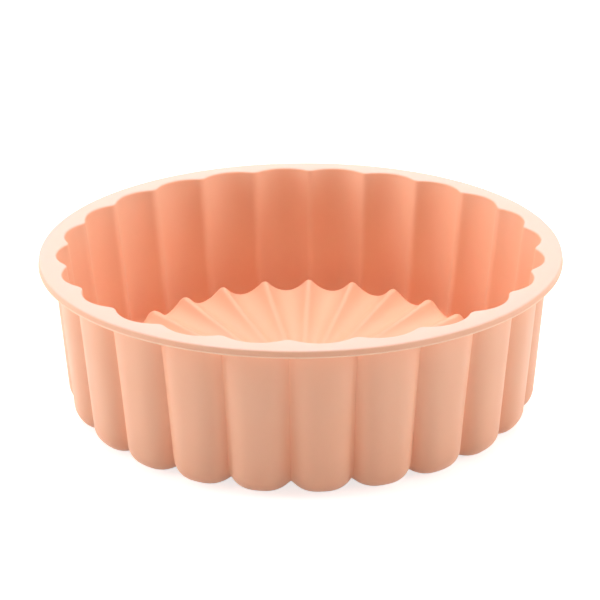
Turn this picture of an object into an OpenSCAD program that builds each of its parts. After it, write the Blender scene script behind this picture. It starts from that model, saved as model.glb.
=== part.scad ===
// Round silicone cake mould, moulded in one piece.
// A flat rim, a fluted wall and, inside a round channel, a raised floor pleated like a star.
// The origin is on the table under the middle of the mould, and +Z is up.

/* [Mould] */
// Width of the cavity across its lobes, at the mouth
mouth_w = 213; // [170:1:260]
// Height of the whole mould
mould_h = 70; // [55:1:85]
// Number of lobes around the wall, and of petals in the floor
lobe_count = 24; // [20:1:28]
// Thickness of the silicone in the wall and the floor
wall_t = 1.8; // [1.4:0.1:2.2]

/* [Rim] */
// Width of the flat rim beyond the lobes of the cavity
rim_w = 7.5; // [5:0.1:12]
// Thickness of the rim
rim_t = 3; // [2.2:0.1:5]
// Rounding of the outer top edge of the rim
rim_edge_r = 0.8; // [0.3:0.1:1.4]
// How far the thin lip at the foot of the rim stands out
lip_w = 0.4; // [0.2:0.1:0.8]
// Height of that lip
lip_h = 0.6; // [0.3:0.1:0.8]
// Rounding of the edge between the rim and the cavity
mouth_r = 0.9; // [0.5:0.1:1.5]

/* [Fluted wall] */
// Depth of the flutes at the mouth
flute_depth = 3.9; // [2:0.1:6]
// Draft angle of the wall along the middle of a lobe
lobe_draft = 4; // [2:0.1:6]
// Draft angle of the wall along a ridge between two lobes
ridge_draft = 6.1; // [4.5:0.1:7.5]
// Rounding of the cavity at the foot of a lobe
lobe_foot_r = 7.9; // [5:0.1:9]
// Rounding of the cavity at the foot of a ridge
ridge_foot_r = 3.8; // [2:0.1:4.5]
// How far the foot of a ridge stands above the foot of a lobe
ridge_rise = 3.1; // [1.5:0.1:4.5]
// Share of the flute depth that the rounding of a ridge takes away
ridge_round = 0.15; // [0.1:0.01:0.25]

/* [Raised floor] */
// Width of the channel between the wall and the raised floor
channel_w = 14; // [13:0.1:18]
// Draft angle of the side of the raised floor
floor_draft = 8; // [4:0.5:12]
// Rounding at the foot of the raised floor
floor_foot_r = 3; // [2:0.1:3.5]
// Rounding of the shoulder of the raised floor
shoulder_r = 4; // [3:0.1:5]
// Height of the shoulder above the channel in the middle of a petal
petal_h = 13.6; // [11:0.1:16]
// Height of the pleats above the petals at the shoulder
pleat_h = 6.2; // [4:0.1:8]
// How far the end of a pleat lies inside the end of a petal
pleat_inset = 1.2; // [0:0.1:2]
// Height of the middle of the floor above the channel
centre_h = 2.1; // [1.5:0.1:5]

/* [Hidden] */

// Steps in each rounding along a section of the wall and the floor
mouth_steps = 2;
foot_steps = 3;
shoulder_steps = 3;
rim_edge_steps = 4;
// Places across half a lobe, from its middle at 0 to the ridge at 1
half_lobe = [0, 0.35, 0.7, 0.9, 1];
// How far the bodies that are joined or cut run past each other
overrun = 1;
// How far the lobes are let into the table plane, which gives each one a flat foot
foot_sink = 0.45;

rim_d = mouth_w + 2 * rim_w;
silicone = [0.96, 0.76, 0.65];

// Columns of one lobe from one ridge up to the next, and their angles around the mould
lobe_columns = concat([for (i = [len(half_lobe) - 1 : -1 : 1]) -half_lobe[i]],
                      [for (i = [0 : len(half_lobe) - 2]) half_lobe[i]]);
columns = [for (lobe = [0 : lobe_count - 1]) for (place = lobe_columns)
               [(lobe + (place + 1) / 2) * 360 / lobe_count, place]];

// Floor of the channel in the cavity, at a lobe and at a ridge
lobe_floor_z = wall_t - foot_sink;
ridge_floor_z = lobe_floor_z + ridge_rise + foot_sink;
// Top of the raised floor at its shoulder and in the middle
petal_z = wall_t + petal_h;
pleat_z = petal_z + pleat_h;
centre_z = wall_t + centre_h;

// Radius at the corners of the section through a lobe and a petal
lobe_mouth = mouth_w / 2;
lobe_foot = lobe_mouth - (mould_h - lobe_floor_z) * tan(lobe_draft);
petal_foot = lobe_foot - channel_w;
petal_end = petal_foot - (petal_z - lobe_floor_z) * tan(floor_draft);
// Radius at the corners of the section through a ridge and a pleat
ridge_mouth = lobe_mouth - flute_depth;
ridge_foot = ridge_mouth - (mould_h - ridge_floor_z) * tan(ridge_draft);
pleat_end = petal_end - pleat_inset;
pleat_foot = pleat_end + (pleat_z - ridge_floor_z) * tan(floor_draft);

// Corners of the two sections of the cavity, from the rim to the middle: radius, height, rounding, steps
lobe_section = [[lobe_mouth, mould_h, mouth_r, mouth_steps],
                [lobe_foot, lobe_floor_z, lobe_foot_r, foot_steps],
                [petal_foot, lobe_floor_z, floor_foot_r, foot_steps],
                [petal_end, petal_z, shoulder_r, shoulder_steps]];
ridge_section = [[ridge_mouth, mould_h, mouth_r, mouth_steps],
                 [ridge_foot, ridge_floor_z, ridge_foot_r, foot_steps],
                 [pleat_foot, ridge_floor_z, floor_foot_r, foot_steps],
                 [pleat_end, pleat_z, shoulder_r, shoulder_steps]];

function unit(v) = v / norm(v);
function turn(a, b, c) = sign(cross(b - a, c - b));
function between(a, b, share) = a + (b - a) * share;

// Rounded corner at b on the way from a to c, moved to its left by shift and with its centre kept
function corner(a, b, c, radius, steps, shift) =
    let (back = unit(a - b),
         on = unit(c - b),
         half_angle = acos(back * on) / 2,
         centre = b + unit(back + on) * radius / sin(half_angle),
         first = unit(b + back * radius / tan(half_angle) - centre),
         last = unit(b + on * radius / tan(half_angle) - centre),
         sweep = acos(first * last),
         reach = radius - shift * turn(a, b, c))
    [for (i = [0 : steps])
        centre + reach * (sin(sweep * (1 - i / steps)) * first + sin(sweep * i / steps) * last) / sin(sweep)];

// Points of one section: its rounded corners between a first point on the rim and the middle of the floor
function section(corners, shift) =
    let (start = [[corners[0][0] + rim_w, mould_h]],
         spots = concat(start, [for (c = corners) [c[0], c[1]]], [[0, centre_z]]))
    [for (i = [0 : len(corners) - 1])
        each corner(spots[i], spots[i + 1], spots[i + 2], corners[i][2], corners[i][3], shift)];

// Share of a lobe in the section at one place, with sharp ridges on the outside and round ones in the cavity
function sharp_share(place) = 1 - pow(place, 2);
function round_share(place) =
    let (start = 1 - ridge_round,
         plain = abs(place) < start,
         raw = plain ? sharp_share(place) : ridge_round + start * pow(1 - abs(place), 2) / ridge_round)
    (raw - ridge_round) / (1 - ridge_round);

// Rings of points around the mould, one for each point of the two sections
function rings(lobe_points, ridge_points, round_ridges) =
    [for (i = [0 : len(lobe_points) - 1])
        [for (column = columns)
            let (share = round_ridges ? round_share(column[1]) : sharp_share(column[1]),
                 spot = between(ridge_points[i], lobe_points[i], share))
            [spot[0] * cos(column[0]), spot[0] * sin(column[0]), max(spot[1], 0)]]];

// Closed body through rings of points, with a flat top and a pointed middle below
module lofted(all_rings, middle) {
    around = len(columns);
    count = len(all_rings);
    points = concat([for (ring = all_rings) each ring], [middle]);
    sides = [for (row = [0 : count - 2]) for (i = [0 : around - 1])
                 let (next = (i + 1) % around,
                      here = row * around,
                      below = here + around)
                 each [[here + i, here + next, below + next], [here + i, below + next, below + i]]];
    bottom = [for (i = [0 : around - 1])
                  [(count - 1) * around + i, (count - 1) * around + (i + 1) % around, count * around]];
    top = [[for (i = [around - 1 : -1 : 0]) i]];
    polyhedron(points = points, faces = concat(top, sides, bottom), convexity = 6);
}

// Everything under the rim as a solid body, as if the cavity were full
module outside() {
    lobe_points = section(lobe_section, wall_t);
    ridge_points = section(ridge_section, wall_t);
    wall_start = mouth_steps + 1;
    last = len(lobe_points) - 1;
    top_z = mould_h - rim_t / 2;
    lobe_top = lobe_mouth + wall_t / cos(lobe_draft) - (mould_h - top_z) * tan(lobe_draft);
    ridge_top = ridge_mouth + wall_t / cos(ridge_draft) - (mould_h - top_z) * tan(ridge_draft);
    lofted(rings(concat([[lobe_top, top_z]], [for (i = [wall_start : last]) lobe_points[i]]),
                 concat([[ridge_top, top_z]], [for (i = [wall_start : last]) ridge_points[i]]), false),
           [0, 0, centre_z - wall_t]);
}

// The cavity that the cake mixture fills, open through the rim
module cavity() {
    lobe_points = section(lobe_section, 0);
    ridge_points = section(ridge_section, 0);
    up = [0, overrun];
    lofted(rings(concat([lobe_points[0] + up], lobe_points),
                 concat([ridge_points[0] + up], ridge_points), true),
           [0, 0, centre_z]);
}

// The flat rim as a full disc, with a round top edge and a thin lip at its foot
module rim() {
    outer = rim_d / 2;
    edge = [for (i = [0 : rim_edge_steps])
                [outer - rim_edge_r + rim_edge_r * cos(90 * i / rim_edge_steps),
                 mould_h - rim_edge_r + rim_edge_r * sin(90 * i / rim_edge_steps)]];
    rotate_extrude($fn = 180)
        polygon(concat([[0, mould_h], [0, mould_h - rim_t],
                        [outer + lip_w, mould_h - rim_t],
                        [outer + lip_w, mould_h - rim_t + lip_h],
                        [outer, mould_h - rim_t + lip_h]], edge));
}

module cake_mould() {
    color(silicone)
        difference() {
            union() {
                outside();
                rim();
            }
            cavity();
        }
}

cake_mould();
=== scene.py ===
"""Looks of a round silicone cake mould: its smooth fluted shell, its rubber finish and a plain studio.

All lengths are in metres. The origin is on the table under the middle of the mould, and +Z is up.
"""

import logging
import math
from collections import defaultdict
from dataclasses import dataclass, field
from enum import Enum

import bpy
from bpy.types import Node, NodeSocket, NodeTree
from mathutils import Matrix, Vector

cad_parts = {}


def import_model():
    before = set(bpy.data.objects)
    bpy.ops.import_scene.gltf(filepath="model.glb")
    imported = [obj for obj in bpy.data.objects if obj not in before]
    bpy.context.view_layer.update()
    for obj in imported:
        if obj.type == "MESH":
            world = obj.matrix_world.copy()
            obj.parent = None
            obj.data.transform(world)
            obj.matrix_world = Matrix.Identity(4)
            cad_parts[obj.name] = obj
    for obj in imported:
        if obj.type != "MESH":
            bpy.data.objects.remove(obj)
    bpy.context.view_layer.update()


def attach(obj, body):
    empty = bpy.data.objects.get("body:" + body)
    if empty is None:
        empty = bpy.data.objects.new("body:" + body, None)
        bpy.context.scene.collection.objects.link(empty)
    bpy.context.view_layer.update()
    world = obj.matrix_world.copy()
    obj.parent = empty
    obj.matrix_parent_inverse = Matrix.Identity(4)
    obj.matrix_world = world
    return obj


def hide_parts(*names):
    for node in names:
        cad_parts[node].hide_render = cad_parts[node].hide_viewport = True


LOG = logging.getLogger("cake_mould")
Colour = tuple[float, float, float]
Place = tuple[float, float, float]
Source = NodeSocket | float


class Line(Enum):
    """The two upright sections of the mould that its surface blends between."""

    LOBE = "lobe"
    RIDGE = "ridge"


class Fold(Enum):
    """The three kinds of sharp fold between neighbouring lobes, each with its own rounding."""

    PLEAT = "pleat"
    RIDGE = "ridge"
    GROOVE = "groove"


class Socket(Enum):
    """The kinds of socket that a node group has."""

    PLACE = "NodeSocketVector"
    NUMBER = "NodeSocketFloat"
    COLOUR = "NodeSocketColor"


def deselect_all() -> None:
    """Leaves no object selected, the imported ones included."""
    bpy.ops.object.select_all(action="DESELECT")


def make_active(item: bpy.types.Object) -> None:
    """Selects one object alone and makes it the active one.

    Args:
        item: The object to work on.
    """
    deselect_all()
    item.select_set(True)
    bpy.context.view_layer.objects.active = item


def spin_about_axis(item: bpy.types.Object, steps: int, angle: float, copies: bool = False) -> None:
    """Spins a whole mesh about the axis of the mould, counter-clockwise as seen from above.

    Args:
        item: The object that holds the mesh.
        steps: How many steps the spin has.
        angle: How far it goes in all, in radians.
        copies: Whether it leaves a copy at each step, in place of a swept surface.
    """
    make_active(item)
    bpy.ops.object.mode_set(mode="EDIT")
    bpy.ops.mesh.select_all(action="SELECT")
    bpy.ops.mesh.spin(steps=steps, dupli=copies, angle=-angle, center=(0, 0, 0), axis=(0, 0, 1))
    bpy.ops.object.mode_set(mode="OBJECT")


@dataclass(frozen=True)
class Bend:
    """A round corner of a section. A point of a section is a radius from the axis and a height.

    Its turn is 1 where its centre lies in the rubber, and -1 where its centre lies in the cavity.
    """

    centre: Vector
    to_start: Vector
    to_end: Vector
    radius: float
    turn: float
    steps: int

    def start(self, shift: float = 0.0) -> Vector:
        """Gives where the corner begins, on a surface that lies a shift outside the cavity."""
        return self.centre + self.to_start * (self.radius - shift * self.turn)

    def end(self, shift: float = 0.0) -> Vector:
        """Gives where the corner ends, on a surface that lies a shift outside the cavity."""
        return self.centre + self.to_end * (self.radius - shift * self.turn)


def round_corner(before: Vector, corner: Vector, after: Vector, radius: float, steps: int) -> Bend:
    """Works out the arc that rounds a corner.

    Args:
        before: The corner before this one.
        corner: The corner itself.
        after: The corner after it.
        radius: The radius of the arc.
        steps: How many straight edges stand for the arc.

    Returns:
        The arc, with unit vectors from its centre to its two ends.
    """
    back = (before - corner).normalized()
    onward = (after - corner).normalized()
    half_angle = back.angle(onward) / 2
    centre = corner + (back + onward).normalized() * radius / math.sin(half_angle)
    reach = radius / math.tan(half_angle)
    to_start = (corner + back * reach - centre).normalized()
    to_end = (corner + onward * reach - centre).normalized()
    turn = math.copysign(1.0, back.y * onward.x - back.x * onward.y)
    return Bend(centre, to_start, to_end, radius, turn, steps)


class SectionPen:
    """Draws a section as a chain of edges in the X-Z plane, with Blender's own edit tools."""

    def __init__(self, name: str, start: Vector) -> None:
        """Starts a new mesh object with one vertex.

        Args:
            name: Name of the object.
            start: Radius and height of the first vertex.
        """
        deselect_all()
        bpy.ops.mesh.primitive_plane_add(location=(0, 0, 0))
        self.item: bpy.types.Object = bpy.context.object
        self.item.name = name
        self.spot: Vector = start.copy()
        self.count: int = 1
        bpy.ops.object.mode_set(mode="EDIT")
        bpy.ops.mesh.select_mode(type="VERT")
        bpy.ops.mesh.select_all(action="SELECT")
        bpy.ops.mesh.merge(type="CENTER")
        bpy.ops.transform.translate(value=(start.x, 0, start.y))

    def line_to(self, target: Vector, parts: int = 1) -> None:
        """Draws a straight run.

        Args:
            target: Radius and height of its end.
            parts: How many equal edges it has.
        """
        step = (target - self.spot) / parts
        for _ in range(parts):
            bpy.ops.mesh.extrude_vertices_move(TRANSFORM_OT_translate={"value": (step.x, 0, step.y)})
        self.spot = target.copy()
        self.count += parts

    def sag_to(self, target: Vector, sag: float, parts: int) -> None:
        """Draws a shallow hanging curve.

        Args:
            target: Radius and height of its end.
            sag: How far its middle hangs below a straight run, or rises above it where less than 0.
            parts: How many edges it has.
        """
        start = self.spot.copy()
        for part in range(1, parts + 1):
            way = part / parts
            drop = Vector((0.0, 4 * sag * way * (1 - way)))
            self.line_to(start.lerp(target, way) - drop)

    def arc_to(self, centre: Vector, target: Vector, steps: int) -> None:
        """Draws an arc by spinning the last vertex about a centre.

        Args:
            centre: Centre of the arc.
            target: Its end, as far from the centre as the last vertex is.
            steps: How many edges it has.
        """
        here = self.spot - centre
        there = target - centre
        sweep = math.atan2(here.x * there.y - here.y * there.x, here.dot(there))
        bpy.ops.mesh.spin(steps=steps, angle=sweep, center=(centre.x, 0, centre.y), axis=(0, 1, 0))
        self.spot = target.copy()
        self.count += steps

    def finish(self) -> bpy.types.Object:
        """Leaves edit mode and gives the drawn object."""
        bpy.ops.object.mode_set(mode="OBJECT")
        return self.item


@dataclass(frozen=True)
class Fineness:
    """How many straight edges stand for each curve and each run of the shell."""

    columns_per_lobe: int = 32
    mouth: int = 5
    foot: int = 12
    floor_foot: int = 6
    shoulder: int = 9
    rim_edge: int = 6
    lip_nose: int = 3
    floor_run: int = 14
    long_run: int = 6
    short_run: int = 2


@dataclass
class MouldSizes:
    """Sizes of the mould: first those of its solid, and then those that only the visible shell has."""

    mouth_width: float = 0.213
    height: float = 0.070
    lobes: int = 24
    wall: float = 0.0018
    rim_width: float = 0.0075
    rim_thickness: float = 0.003
    rim_edge: float = 0.0008
    lip_out: float = 0.0004
    lip_height: float = 0.0006
    mouth_edge: float = 0.0009
    flute_depth: float = 0.0039
    lobe_draft: float = math.radians(4.0)
    ridge_draft: float = math.radians(6.1)
    lobe_foot_round: float = 0.0079
    ridge_foot_round: float = 0.0038
    ridge_rise: float = 0.0031
    foot_sink: float = 0.00045
    ridge_round: float = 0.15
    channel_width: float = 0.014
    floor_draft: float = math.radians(8.0)
    floor_foot_round: float = 0.003
    shoulder_round: float = 0.004
    petal_height: float = 0.0136
    pleat_height: float = 0.0062
    pleat_inset: float = 0.0012
    centre_height: float = 0.0021

    lip_nose: float = 0.0001
    pleat_round: float = 0.17
    pleat_round_limit: float = 0.5
    pleat_sag: float = 0.0010
    petal_swell: float = 0.0006
    groove_round: float = 0.04
    groove_fullness: float = 0.8

    @property
    def rim_radius(self) -> float:
        """Radius of the rim above its lip."""
        return self.mouth_width / 2 + self.rim_width

    @property
    def centre(self) -> Vector:
        """The middle of the raised floor, on the side of the cavity."""
        return Vector((0.0, self.wall + self.centre_height))

    def corners(self, line: Line) -> list[Vector]:
        """Gives the sharp corners of one section of the cavity.

        Args:
            line: The section through a lobe and a petal, or the one through a ridge and a pleat.

        Returns:
            The mouth, the foot of the wall, the foot of the raised floor and its shoulder.
        """
        petal_z = self.wall + self.petal_height
        lobe_floor_z = self.wall - self.foot_sink
        lobe_mouth = self.mouth_width / 2
        lobe_foot = lobe_mouth - (self.height - lobe_floor_z) * math.tan(self.lobe_draft)
        petal_foot = lobe_foot - self.channel_width
        petal_end = petal_foot - (petal_z - lobe_floor_z) * math.tan(self.floor_draft)
        if line is Line.LOBE:
            return [Vector((lobe_mouth, self.height)), Vector((lobe_foot, lobe_floor_z)),
                    Vector((petal_foot, lobe_floor_z)), Vector((petal_end, petal_z))]
        pleat_z = petal_z + self.pleat_height
        ridge_floor_z = self.wall + self.ridge_rise
        ridge_mouth = lobe_mouth - self.flute_depth
        ridge_foot = ridge_mouth - (self.height - ridge_floor_z) * math.tan(self.ridge_draft)
        pleat_end = petal_end - self.pleat_inset
        pleat_foot = pleat_end + (pleat_z - ridge_floor_z) * math.tan(self.floor_draft)
        return [Vector((ridge_mouth, self.height)), Vector((ridge_foot, ridge_floor_z)),
                Vector((pleat_foot, ridge_floor_z)), Vector((pleat_end, pleat_z))]

    def bends(self, line: Line, fineness: Fineness) -> list[Bend]:
        """Gives the round corners of one section of the cavity, from the mouth to the shoulder.

        Args:
            line: Which of the two sections.
            fineness: How finely each corner is drawn.

        Returns:
            The four arcs in that order.
        """
        foot_round = self.lobe_foot_round if line is Line.LOBE else self.ridge_foot_round
        rounds = [(self.mouth_edge, fineness.mouth), (foot_round, fineness.foot),
                  (self.floor_foot_round, fineness.floor_foot), (self.shoulder_round, fineness.shoulder)]
        corners = self.corners(line)
        start = Vector((corners[0].x + self.rim_width, self.height))
        spots = [start, *corners, self.centre]
        return [round_corner(spots[i], spots[i + 1], spots[i + 2], radius, steps)
                for i, (radius, steps) in enumerate(rounds)]

    def sag(self, line: Line) -> float:
        """Gives how far the raised floor hangs below a straight run, along a petal or along a pleat."""
        return self.pleat_sag if line is Line.RIDGE else -self.petal_swell

    def pleat_rounding(self, radius: float) -> float:
        """Gives the rounding of the pleats at a radius, so that a crest stays about as wide all along.

        A radius less than the wall's thickness counts as that much, because the middle has none.

        Args:
            radius: Distance from the axis.

        Returns:
            The part of half a lobe that the round takes up there.
        """
        reach = self.corners(Line.LOBE)[3].x
        return min(self.pleat_round_limit, self.pleat_round * reach / max(radius, self.wall))

    def rounding(self, fold: Fold) -> float:
        """Gives the part of half a lobe that the round of a fold takes up."""
        rounds = {Fold.PLEAT: self.pleat_round, Fold.RIDGE: self.ridge_round, Fold.GROOVE: self.groove_round}
        return rounds[fold]

    def share(self, rounding: float, fullness: float, place: float) -> float:
        """Gives how much of the lobe's section a place across a lobe has.

        It falls from the middle as a power of the way, and a parabola rounds it off at the ridges.

        Args:
            rounding: The part of half a lobe that the round of the fold takes up.
            fullness: How much fuller than a parabola the lobe is, from 0.
            place: From -1 at one ridge over 0 in the middle of the lobe to 1 at the next ridge.

        Returns:
            From 0 at a ridge to 1 in the middle of a lobe.
        """
        off = abs(place)
        power = 2 + fullness
        start = 1 - rounding
        slope = power * start ** (power - 1)
        lowest = 1 - start ** power - slope * rounding / 2
        raw = 1 - off ** power if off < start else lowest + slope * (1 - off) ** 2 / (2 * rounding)
        return (raw - lowest) / (1 - lowest)


def feed(tree: NodeTree, target: NodeSocket, value: Source) -> None:
    """Feeds an input of a node.

    Args:
        tree: The node tree that the node is in.
        target: The input.
        value: The output to link it to, or the number to set it to.
    """
    if isinstance(value, NodeSocket):
        tree.links.new(value, target)
    else:
        target.default_value = value


def calculate(tree: NodeTree, operation: str, *values: Source) -> NodeSocket:
    """Adds one step of arithmetic.

    Args:
        tree: The node tree to add it to.
        operation: What is done with the values, in the program's own word.
        *values: Outputs or numbers.

    Returns:
        The result.
    """
    step = tree.nodes.new("ShaderNodeMath")
    step.operation = operation
    for target, value in zip(step.inputs, values):
        feed(tree, target, value)
    return step.outputs[0]


def climb(tree: NodeTree, value: NodeSocket, low: Source, high: Source,
          least: float = 0.0, smooth: bool = False) -> NodeSocket:
    """Adds a number that climbs to 1.

    Args:
        tree: The node tree to add it to.
        value: What decides how far it has climbed.
        low: The value where the climb begins.
        high: The value where it ends.
        least: The number before the climb.
        smooth: Whether the climb begins and ends gently.

    Returns:
        The number.
    """
    slope = tree.nodes.new("ShaderNodeMapRange")
    slope.interpolation_type = "SMOOTHSTEP" if smooth else "LINEAR"
    for label, entry in (("Value", value), ("From Min", low), ("From Max", high), ("To Min", least)):
        feed(tree, slope.inputs[label], entry)
    return slope.outputs["Result"]


def mix_colours(tree: NodeTree, factor: NodeSocket, first: NodeSocket) -> tuple[NodeSocket, NodeSocket]:
    """Adds a mix of two colours.

    Args:
        tree: The node tree to add it to.
        factor: How much of the second colour there is.
        first: The first colour.

    Returns:
        The input for the second colour, and the mixed colour.
    """
    mix = tree.nodes.new("ShaderNodeMix")
    mix.data_type = "RGBA"
    factor_in, first_in, second_in, mixed = mix.inputs[0], mix.inputs[6], mix.inputs[7], mix.outputs[2]
    tree.links.new(factor, factor_in)
    tree.links.new(first, first_in)
    return second_in, mixed


def distance(tree: NodeTree, place: NodeSocket) -> NodeSocket:
    """Adds the distance of a place from the origin.

    Args:
        tree: The node tree to add it to.
        place: The coordinates.

    Returns:
        The distance.
    """
    reach = tree.nodes.new("ShaderNodeVectorMath")
    reach.operation = "LENGTH"
    tree.links.new(place, reach.inputs[0])
    return reach.outputs["Value"]


def straight_view(tree: NodeTree) -> NodeSocket:
    """Adds a mask that is 1 for what the camera sees straight, in gloss or through glass.

    Args:
        tree: The node tree to add it to.

    Returns:
        The mask, which is 0 for the light that falls on matt surfaces.
    """
    path = tree.nodes.new("ShaderNodeLightPath")
    seen = path.outputs["Is Camera Ray"]
    for ray in ("Is Glossy Ray", "Is Transmission Ray"):
        seen = calculate(tree, "MAXIMUM", seen, path.outputs[ray])
    return seen


def new_group(name: str, inputs: dict[str, Socket], outputs: dict[str, Socket]) -> NodeTree:
    """Starts a shader node group with named sockets.

    Args:
        name: Name of the group.
        inputs: Name and kind of each input.
        outputs: Name and kind of each output.

    Returns:
        The group, with its input and output nodes in place.
    """
    group = bpy.data.node_groups.new(name, "ShaderNodeTree")
    for side, sockets in (("INPUT", inputs), ("OUTPUT", outputs)):
        for label, kind in sockets.items():
            group.interface.new_socket(name=label, in_out=side, socket_type=kind.value)
    group.nodes.new("NodeGroupInput").name = "Inlet"
    group.nodes.new("NodeGroupOutput").name = "Outlet"
    return group


def sized_noise(group: NodeTree, place: NodeSocket, size: NodeSocket, octaves: float) -> NodeSocket:
    """Adds a noise texture whose lumps have a real size.

    Args:
        group: The node group to add it to.
        place: The coordinates.
        size: The size of a lump.
        octaves: Octaves of finer noise on top.

    Returns:
        The noise value, about 0.5 on average.
    """
    noise = group.nodes.new("ShaderNodeTexNoise")
    noise.inputs["Detail"].default_value = octaves
    group.links.new(place, noise.inputs["Vector"])
    group.links.new(calculate(group, "DIVIDE", 1.0, size), noise.inputs["Scale"])
    return noise.outputs["Fac"]


def soft_clouds() -> NodeTree:
    """Makes the group that drifts slowly between two close colours, as pigment does in rubber.

    Returns:
        The node group.
    """
    only_first, only_second = 0.35, 0.65
    group = new_group("soft_clouds",
                      {"Place": Socket.PLACE, "Size": Socket.NUMBER,
                       "First Colour": Socket.COLOUR, "Second Colour": Socket.COLOUR},
                      {"Colour": Socket.COLOUR})
    inlet = group.nodes["Inlet"].outputs
    clouds = sized_noise(group, inlet["Place"], inlet["Size"], octaves=2.0)
    factor = climb(group, clouds, only_first, only_second)
    second, mixed = mix_colours(group, factor, inlet["First Colour"])
    group.links.new(inlet["Second Colour"], second)
    group.links.new(mixed, group.nodes["Outlet"].inputs["Colour"])
    return group


def satin_skin() -> NodeTree:
    """Makes the group for the skin that a blasted steel tool leaves on rubber.

    Returns:
        The node group, with a height for the fine grain and an uneven roughness.
    """
    noise_middle = 0.5
    group = new_group("satin_skin",
                      {"Place": Socket.PLACE, "Grain Size": Socket.NUMBER, "Patch Size": Socket.NUMBER,
                       "Roughness": Socket.NUMBER, "Spread": Socket.NUMBER},
                      {"Height": Socket.NUMBER, "Roughness": Socket.NUMBER})
    inlet = group.nodes["Inlet"].outputs
    outlet = group.nodes["Outlet"].inputs
    grain = sized_noise(group, inlet["Place"], inlet["Grain Size"], octaves=3.0)
    patches = sized_noise(group, inlet["Place"], inlet["Patch Size"], octaves=2.0)
    uneven = calculate(group, "SUBTRACT", patches, noise_middle)
    level = calculate(group, "MULTIPLY_ADD", uneven, inlet["Spread"], inlet["Roughness"])
    group.links.new(grain, outlet["Height"])
    group.links.new(level, outlet["Roughness"])
    return group


def rim_painted_light() -> NodeTree:
    """Makes the group that masks the flat top of the rim, where sheen is painted, and its thin lip, where a
    highlight is painted.

    Returns:
        The node group, with a sheen mask about 1 on the flat top and a highlight mask about 1 on the lip's
        edge.
    """
    # The painted sheen and painted highlight are patchy: their masks fall to the faintest level in some
    # patches.
    faint_patch, full_patch, faintest = 0.3, 0.7, 0.8
    group = new_group("rim_painted_light",
                      {"Place": Socket.PLACE, "Top Low": Socket.NUMBER, "Top High": Socket.NUMBER,
                       "Lip Start": Socket.NUMBER, "Lip End": Socket.NUMBER, "Patch Size": Socket.NUMBER},
                      {"Top": Socket.NUMBER, "Lip": Socket.NUMBER})
    inlet = group.nodes["Inlet"].outputs
    split = group.nodes.new("ShaderNodeSeparateXYZ")
    group.links.new(inlet["Place"], split.inputs[0])
    level = group.nodes.new("ShaderNodeVectorMath")
    level.operation = "MULTIPLY"
    level.inputs[1].default_value = (1, 1, 0)
    group.links.new(inlet["Place"], level.inputs[0])
    radius = distance(group, level.outputs["Vector"])
    patches = sized_noise(group, inlet["Place"], inlet["Patch Size"], octaves=3.0)
    patchiness = climb(group, patches, faint_patch, full_patch, least=faintest)
    steps = {"Top": climb(group, split.outputs["Z"], inlet["Top Low"], inlet["Top High"], smooth=True),
             "Lip": climb(group, radius, inlet["Lip Start"], inlet["Lip End"], smooth=True)}
    for label, step in steps.items():
        group.links.new(calculate(group, "MULTIPLY", step, patchiness), group.nodes["Outlet"].inputs[label])
    return group


def place_group(tree: NodeTree, group: NodeTree, place: NodeSocket,
                values: dict[str, float | tuple[float, ...]]) -> Node:
    """Places a node group in a material, with values of its own.

    Args:
        tree: The material's node tree.
        group: The group.
        place: The coordinates that it reads.
        values: Name and value of each of its other inputs.

    Returns:
        The group's node.
    """
    node = tree.nodes.new("ShaderNodeGroup")
    node.node_tree = group
    for label, value in values.items():
        node.inputs[label].default_value = value
    tree.links.new(place, node.inputs["Place"])
    return node


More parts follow.
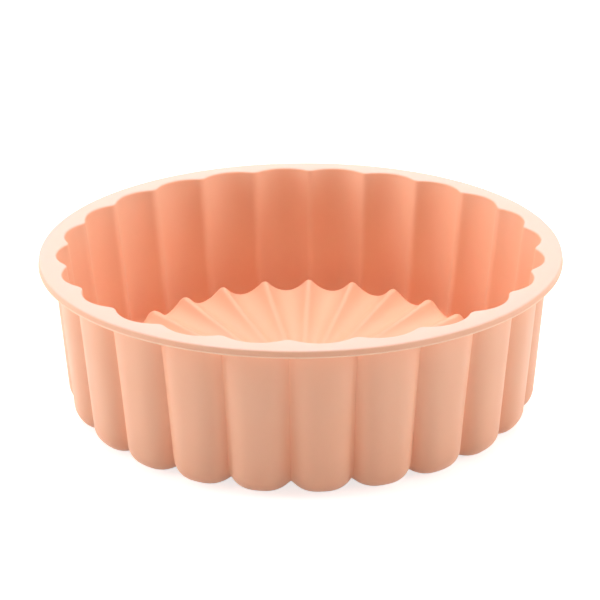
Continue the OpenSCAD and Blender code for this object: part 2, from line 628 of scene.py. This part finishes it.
@dataclass(frozen=True)
class SiliconeFinish:
    """Peach silicone rubber with a fine satin skin, a painted sheen on the top of the rim and a painted
    highlight on the thin lip.
    """

    peach: Colour = (0.938, 0.534, 0.362)
    warm: Colour = (0.948, 0.520, 0.344)
    cloud_size: float = 0.035
    roughness: float = 0.46
    roughness_spread: float = 0.12
    patch_size: float = 0.012
    grain_size: float = 0.00045
    grain_depth: float = 0.000012
    # Painted sheen: a cooler, paler base colour on the flat top of the rim.
    rim_painted_sheen: Colour = (0.905, 0.562, 0.464)
    rim_low: float = 0.0694
    rim_high: float = 0.0699
    # Painted highlight: a paler base colour along the edge of the lip.
    lip_painted_highlight: Colour = (0.975, 0.655, 0.485)
    lip_start: float = 0.11402
    lip_end: float = 0.11420
    scatter: float = 0.12
    scatter_reach: tuple[float, float, float] = (1.0, 0.45, 0.28)
    scatter_scale: float = 0.0012
    gloss_index: float = 1.41

    def material(self) -> bpy.types.Material:
        """Builds the material, which reads Object coordinates only.

        Returns:
            The node material.
        """
        material = bpy.data.materials.new("silicone_rubber")
        material.use_nodes = True
        nodes = material.node_tree.nodes
        links = material.node_tree.links
        shader = nodes["Principled BSDF"]
        shader.inputs["IOR"].default_value = self.gloss_index
        shader.inputs["Subsurface Weight"].default_value = self.scatter
        shader.inputs["Subsurface Radius"].default_value = self.scatter_reach
        shader.inputs["Subsurface Scale"].default_value = self.scatter_scale
        place = nodes.new("ShaderNodeTexCoord").outputs["Object"]
        clouds = place_group(material.node_tree, soft_clouds(), place,
                             {"Size": self.cloud_size, "First Colour": (*self.peach, 1),
                              "Second Colour": (*self.warm, 1)})
        rim = place_group(material.node_tree, rim_painted_light(), place,
                          {"Top Low": self.rim_low, "Top High": self.rim_high, "Lip Start": self.lip_start,
                           "Lip End": self.lip_end, "Patch Size": self.patch_size})
        skin = place_group(material.node_tree, satin_skin(), place,
                           {"Grain Size": self.grain_size, "Patch Size": self.patch_size,
                            "Roughness": self.roughness, "Spread": self.roughness_spread})
        colour = clouds.outputs["Colour"]
        # Paints the sheen on the rim's top and the highlight on the lip's edge into the base colour.
        for mask, tone in (("Top", self.rim_painted_sheen), ("Lip", self.lip_painted_highlight)):
            second, colour = mix_colours(material.node_tree, rim.outputs[mask], colour)
            second.default_value = (*tone, 1)
        bump = nodes.new("ShaderNodeBump")
        bump.inputs["Distance"].default_value = self.grain_depth
        links.new(colour, shader.inputs["Base Color"])
        links.new(skin.outputs["Roughness"], shader.inputs["Roughness"])
        links.new(skin.outputs["Height"], bump.inputs["Height"])
        links.new(bump.outputs["Normal"], shader.inputs["Normal"])
        return material


@dataclass
class CakeMould:
    """The mould: one shell, spun from a section through a lobe and fluted towards one through a ridge."""

    sizes: MouldSizes = field(default_factory=MouldSizes)
    fineness: Fineness = field(default_factory=Fineness)
    finish: SiliconeFinish = field(default_factory=SiliconeFinish)
    name: str = "mould_shell"
    fold_group: str = "fold_round"
    full_group: str = "fullness"
    blend_group: str = "lobe_share"
    merge_distance: float = 1e-6
    smooth_angle: float = math.radians(35.0)

    @property
    def lobe_angle(self) -> float:
        """The angle that one lobe takes up."""
        return math.tau / self.sizes.lobes

    def draw_cavity(self, pen: SectionPen, bends: list[Bend], line: Line) -> tuple[int, int]:
        """Draws the raised floor, the channel and the inside of the wall, from the middle outwards.

        Args:
            pen: The pen, at the middle of the floor.
            bends: The round corners of this section.
            line: Which of the two sections.

        Returns:
            How many vertices there are with the shoulder of the floor, and with the foot of the wall.
        """
        fineness = self.fineness
        mouth, foot, floor_foot, shoulder = bends
        pen.sag_to(shoulder.end(), self.sizes.sag(line), fineness.floor_run)
        pen.arc_to(shoulder.centre, shoulder.start(), shoulder.steps)
        counts = [pen.count]
        for bend, parts in ((floor_foot, fineness.short_run), (foot, fineness.short_run),
                            (mouth, fineness.long_run)):
            pen.line_to(bend.end(), parts)
            pen.arc_to(bend.centre, bend.start(), bend.steps)
            counts.append(pen.count)
        return counts[0], counts[2]

    def draw_rim(self, pen: SectionPen) -> None:
        """Draws the flat rim with its round top edge and the fine lip round its foot.

        Args:
            pen: The pen, where the round edge of the mouth meets the top of the rim.
        """
        sizes = self.sizes
        short_run = self.fineness.short_run
        rim = sizes.rim_radius
        top = sizes.height
        under = top - sizes.rim_thickness
        edge_centre = Vector((rim - sizes.rim_edge, top - sizes.rim_edge))
        pen.line_to(Vector((edge_centre.x, top)), short_run)
        pen.arc_to(edge_centre, Vector((rim, edge_centre.y)), self.fineness.rim_edge)
        pen.line_to(Vector((rim, under + sizes.lip_height)), short_run)
        lip_end = rim + sizes.lip_out
        pen.line_to(Vector((lip_end, under + sizes.lip_nose)), short_run)
        nose_centre = Vector((lip_end - sizes.lip_nose, under + sizes.lip_nose))
        pen.arc_to(nose_centre, Vector((nose_centre.x, under)), self.fineness.lip_nose)

    def draw_outside(self, pen: SectionPen, bends: list[Bend], line: Line) -> tuple[int, int]:
        """Draws the underside of the rim, the outside of the wall and the underside of the floor.

        Args:
            pen: The pen, at the lip of the rim.
            bends: The round corners of this section.
            line: Which of the two sections.

        Returns:
            How many vertices there are with the foot of the wall, and with the foot of the raised floor.
        """
        sizes = self.sizes
        fineness = self.fineness
        wall = sizes.wall
        foot, floor_foot, shoulder = bends[1:]
        draft = sizes.lobe_draft if line is Line.LOBE else sizes.ridge_draft
        mouth = sizes.corners(line)[0].x
        under = sizes.height - sizes.rim_thickness
        reach = mouth + wall / math.cos(draft) - sizes.rim_thickness * math.tan(draft)
        pen.line_to(Vector((reach, under)), fineness.short_run)
        counts = []
        for bend, parts in ((foot, fineness.long_run), (floor_foot, fineness.short_run),
                            (shoulder, fineness.short_run)):
            pen.line_to(bend.start(wall), parts)
            pen.arc_to(bend.centre, bend.end(wall), bend.steps)
            counts.append(pen.count)
        pen.sag_to(sizes.centre - Vector((0.0, wall)), sizes.sag(line), fineness.floor_run)
        return counts[0], counts[1]

    def draw_section(self, line: Line) -> bpy.types.Object:
        """Draws one whole section, from the middle of the floor over the rim and back underneath.

        Args:
            line: Which of the two sections.

        Returns:
            The chain of edges, with vertex groups that hold how round the folds and how full the lobes are.
        """
        sizes = self.sizes
        bends = sizes.bends(line, self.fineness)
        pen = SectionPen(f"{line.value}_shell", sizes.centre)
        floor_end, wall_start = self.draw_cavity(pen, bends, line)
        cavity_end = pen.count
        self.draw_rim(pen)
        outside_start = pen.count
        foot_end, recess_start = self.draw_outside(pen, bends, line)
        section = pen.finish()
        folds = section.vertex_groups.new(name=self.fold_group)
        for vertex in section.data.vertices[:floor_end]:
            folds.add([vertex.index], sizes.pleat_rounding(vertex.co.x), "REPLACE")
        for index in range(floor_end, wall_start):
            way = (index - floor_end + 1) / (wall_start - floor_end + 1)
            between = sizes.rounding(Fold.PLEAT) * (1 - way) + sizes.rounding(Fold.RIDGE) * way
            folds.add([index], between, "REPLACE")
        folds.add(range(wall_start, cavity_end), sizes.rounding(Fold.RIDGE), "REPLACE")
        folds.add(range(outside_start, pen.count), sizes.rounding(Fold.GROOVE), "REPLACE")
        full = section.vertex_groups.new(name=self.full_group)
        full.add(range(outside_start, foot_end), sizes.groove_fullness, "REPLACE")
        for index in range(foot_end, recess_start):
            left = (recess_start - index) / (recess_start - foot_end + 1)
            full.add([index], sizes.groove_fullness * left, "REPLACE")
        return section

    def weigh_lobe(self, wedge: bpy.types.Object) -> None:
        """Gives each vertex its share of the lobe's section, by its place in the lobe and the fold there.

        The vertices of the rim are in neither group, so the rim stays plain and round.

        Args:
            wedge: The spun wedge, with the vertex groups of the folds and the fullness.
        """
        columns = self.fineness.columns_per_lobe
        fold = wedge.vertex_groups[self.fold_group].index
        full = wedge.vertex_groups[self.full_group].index
        marked: dict[tuple[float, float, int], list[int]] = defaultdict(list)
        for vertex in wedge.data.vertices:
            column = round(math.atan2(vertex.co.y, vertex.co.x) / self.lobe_angle * columns)
            weights = {entry.group: entry.weight for entry in vertex.groups}
            if fold in weights:
                marked[weights[fold], weights.get(full, 0.0), column].append(vertex.index)
        blend = wedge.vertex_groups.new(name=self.blend_group)
        for (rounding, fullness, column), indices in marked.items():
            place = 2 * column / columns - 1
            blend.add(indices, self.sizes.share(rounding, fullness, place), "REPLACE")

    def swell_lobe(self, wedge: bpy.types.Object, lobe_wedge: bpy.types.Object) -> None:
        """Swells the ridge's plain wedge into a lobe and a petal by blending in the lobe's wedge.

        Args:
            wedge: The wedge spun from the ridge's section, which is kept.
            lobe_wedge: The wedge spun from the lobe's section, which is used up.
        """
        make_active(wedge)
        lobe_wedge.select_set(True)
        bpy.ops.object.join_shapes()
        wedge.active_shape_key_index = len(wedge.data.shape_keys.key_blocks) - 1
        key = wedge.active_shape_key
        key.vertex_group = self.blend_group
        key.value = 1.0
        make_active(wedge)
        bpy.ops.object.shape_key_remove(all=True, apply_mix=True)
        make_active(lobe_wedge)
        bpy.ops.object.delete()

    def close_ring(self, wedge: bpy.types.Object) -> None:
        """Copies the lobe all the way round and closes the seams and the two poles.

        Args:
            wedge: The finished wedge of one lobe, which becomes the whole shell.
        """
        others = self.sizes.lobes - 1
        spin_about_axis(wedge, others, others * self.lobe_angle, copies=True)
        bpy.ops.object.mode_set(mode="EDIT")
        bpy.ops.mesh.select_all(action="SELECT")
        bpy.ops.mesh.remove_doubles(threshold=self.merge_distance)
        bpy.ops.object.mode_set(mode="OBJECT")

    def flatten_feet(self, shell: bpy.types.Object) -> None:
        """Presses the lobes' undersides flat where they stand on the table.

        Args:
            shell: The fluted shell.
        """
        for polygon in shell.data.polygons:
            polygon.select = False
        for edge in shell.data.edges:
            edge.select = False
        for vertex in shell.data.vertices:
            vertex.select = vertex.co.z < 0
        make_active(shell)
        bpy.ops.object.mode_set(mode="EDIT")
        bpy.ops.mesh.select_mode(type="VERT")
        bpy.ops.transform.resize(value=(1, 1, 0), center_override=(0, 0, 0))
        bpy.ops.mesh.select_all(action="SELECT")
        bpy.ops.mesh.normals_make_consistent(inside=False)
        bpy.ops.object.mode_set(mode="OBJECT")

    def build(self) -> bpy.types.Object:
        """Builds the whole shell and dresses it.

        Returns:
            The mould.
        """
        shell = self.draw_section(Line.RIDGE)
        lobe_wedge = self.draw_section(Line.LOBE)
        for wedge in (shell, lobe_wedge):
            spin_about_axis(wedge, self.fineness.columns_per_lobe, self.lobe_angle)
        self.weigh_lobe(shell)
        self.swell_lobe(shell, lobe_wedge)
        self.close_ring(shell)
        self.flatten_feet(shell)
        make_active(shell)
        bpy.ops.object.shade_smooth_by_angle(angle=self.smooth_angle)
        shell.name = self.name
        shell.data.name = self.name
        shell.data.materials.append(self.finish.material())
        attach(shell, "root")
        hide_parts("cake_mould")
        return shell


@dataclass(frozen=True)
class SoftBox:
    """A big soft lamp that faces the mould."""

    name: str
    place: Place
    width: float
    height: float
    glow: float
    target: Place = (0.0, 0.0, 0.035)

    def build(self) -> None:
        """Adds the lamp. Its glow is how bright its face is, whatever its size."""
        deselect_all()
        bpy.ops.object.light_add(type="AREA", location=self.place)
        lamp = bpy.context.object
        lamp.name = self.name
        lamp.data.shape = "RECTANGLE"
        lamp.data.size = self.width
        lamp.data.size_y = self.height
        lamp.data.energy = self.glow * math.pi * self.width * self.height
        way = Vector(self.target) - Vector(self.place)
        lamp.rotation_euler = way.to_track_quat("-Z", "Y").to_euler()
        lamp.visible_camera = False


@dataclass
class Studio:
    """The white floor, the surrounding air, the lamps and the camera."""

    floor_width: float = 12.0
    floor_tone: Colour = (0.83, 0.775, 0.75)
    floor_roughness: float = 0.9
    floor_lift: float = 0.72
    lift_near: float = 0.5
    lift_far: float = 1.8
    floor_drop: float = 0.0002
    air_glow: float = 0.02
    boxes: tuple[SoftBox, ...] = (
        SoftBox("top_box", (0.0, 0.12, 1.55), 1.20, 1.10, 5.70),
        SoftBox("top_back_box", (0.0, 0.80, 1.30), 1.20, 0.75, 0.60),
        SoftBox("left_box", (-1.29, -0.05, 0.80), 1.00, 0.80, 1.95),
        SoftBox("right_box", (1.29, -0.05, 0.80), 1.00, 0.80, 1.20),
        SoftBox("low_left_box", (-1.46, 0.0, 0.38), 0.64, 0.50, 6.10),
        SoftBox("low_right_box", (1.46, 0.0, 0.38), 0.64, 0.50, 5.60),
        SoftBox("back_box", (0.0, 1.45, 0.60), 2.00, 0.60, 1.20),
        SoftBox("front_left_strip", (-1.02, -1.10, 0.155), 0.80, 0.25, 4.05),
        SoftBox("front_right_strip", (1.02, -1.10, 0.155), 0.80, 0.25, 3.30),
    )
    camera_place: Place = (0.03852, -0.80344, 0.37750)
    camera_turn: float = math.radians(2.772)
    camera_tilt: float = math.radians(22.514)
    camera_roll: float = math.radians(0.46)
    lens: float = 117.77
    sensor: float = 36.0
    nearest: float = 0.01

    def floor_material(self) -> bpy.types.Material:
        """Builds the floor's white, which keeps the mould's shadow and is lifted more where it lies far off.

        Returns:
            The node material.
        """
        material = bpy.data.materials.new("studio_floor")
        material.use_nodes = True
        tree = material.node_tree
        shader = tree.nodes["Principled BSDF"]
        shader.inputs["Base Color"].default_value = (*self.floor_tone, 1)
        shader.inputs["Roughness"].default_value = self.floor_roughness
        shader.inputs["Specular IOR Level"].default_value = 0.0
        shader.inputs["Emission Color"].default_value = (1, 1, 1, 1)
        reach = distance(tree, tree.nodes.new("ShaderNodeTexCoord").outputs["Object"])
        rise = climb(tree, reach, self.lift_near, self.lift_far, least=self.floor_lift)
        lift = calculate(tree, "MULTIPLY", straight_view(tree), rise)
        tree.links.new(lift, shader.inputs["Emission Strength"])
        return material

    def build_floor(self) -> None:
        """Adds the floor, a hair below the feet of the mould."""
        deselect_all()
        bpy.ops.mesh.primitive_plane_add(size=self.floor_width, location=(0, 0, -self.floor_drop))
        floor = bpy.context.object
        floor.name = "studio_floor"
        floor.data.materials.append(self.floor_material())

    def build_air(self) -> None:
        """Makes the world white to the camera and a soft even glow to everything else."""
        world = bpy.data.worlds.new("studio_air")
        world.use_nodes = True
        bpy.context.scene.world = world
        tree = world.node_tree
        air = tree.nodes["Background"]
        air.inputs["Color"].default_value = (1, 1, 1, 1)
        glow = climb(tree, straight_view(tree), 0.0, 1.0, least=self.air_glow)
        tree.links.new(glow, air.inputs["Strength"])

    def build_camera(self) -> None:
        """Adds the camera where the photograph was taken from."""
        deselect_all()
        bpy.ops.object.camera_add()
        camera = bpy.context.object
        camera.name = "photo_camera"
        turn = Matrix.Rotation(self.camera_turn, 3, "Z")
        tilt = self.camera_tilt
        right = turn @ Vector((1, 0, 0))
        ahead = turn @ Vector((0, math.cos(tilt), -math.sin(tilt)))
        up = turn @ Vector((0, math.sin(tilt), math.cos(tilt)))
        level = Matrix((right, up, -ahead)).transposed()
        roll = Matrix.Rotation(-self.camera_roll, 3, "Z")
        camera.matrix_world = Matrix.Translation(self.camera_place) @ (level @ roll).to_4x4()
        camera.data.sensor_fit = "HORIZONTAL"
        camera.data.sensor_width = self.sensor
        camera.data.lens = self.lens
        camera.data.clip_start = self.nearest
        bpy.context.scene.camera = camera

    def build(self) -> None:
        """Builds the whole studio."""
        self.build_floor()
        self.build_air()
        self.build_camera()
        for box in self.boxes:
            box.build()
        bpy.context.scene.view_settings.view_transform = "Standard"


def main() -> None:
    """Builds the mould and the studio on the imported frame."""
    logging.basicConfig(level=logging.INFO, format="%(name)s: %(message)s")
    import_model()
    Studio().build()
    LOG.info("studio ready")
    shell = CakeMould().build()
    LOG.info("%s: %d vertices, %d faces", shell.name, len(shell.data.vertices), len(shell.data.polygons))


if __name__ == "__main__":
    main()
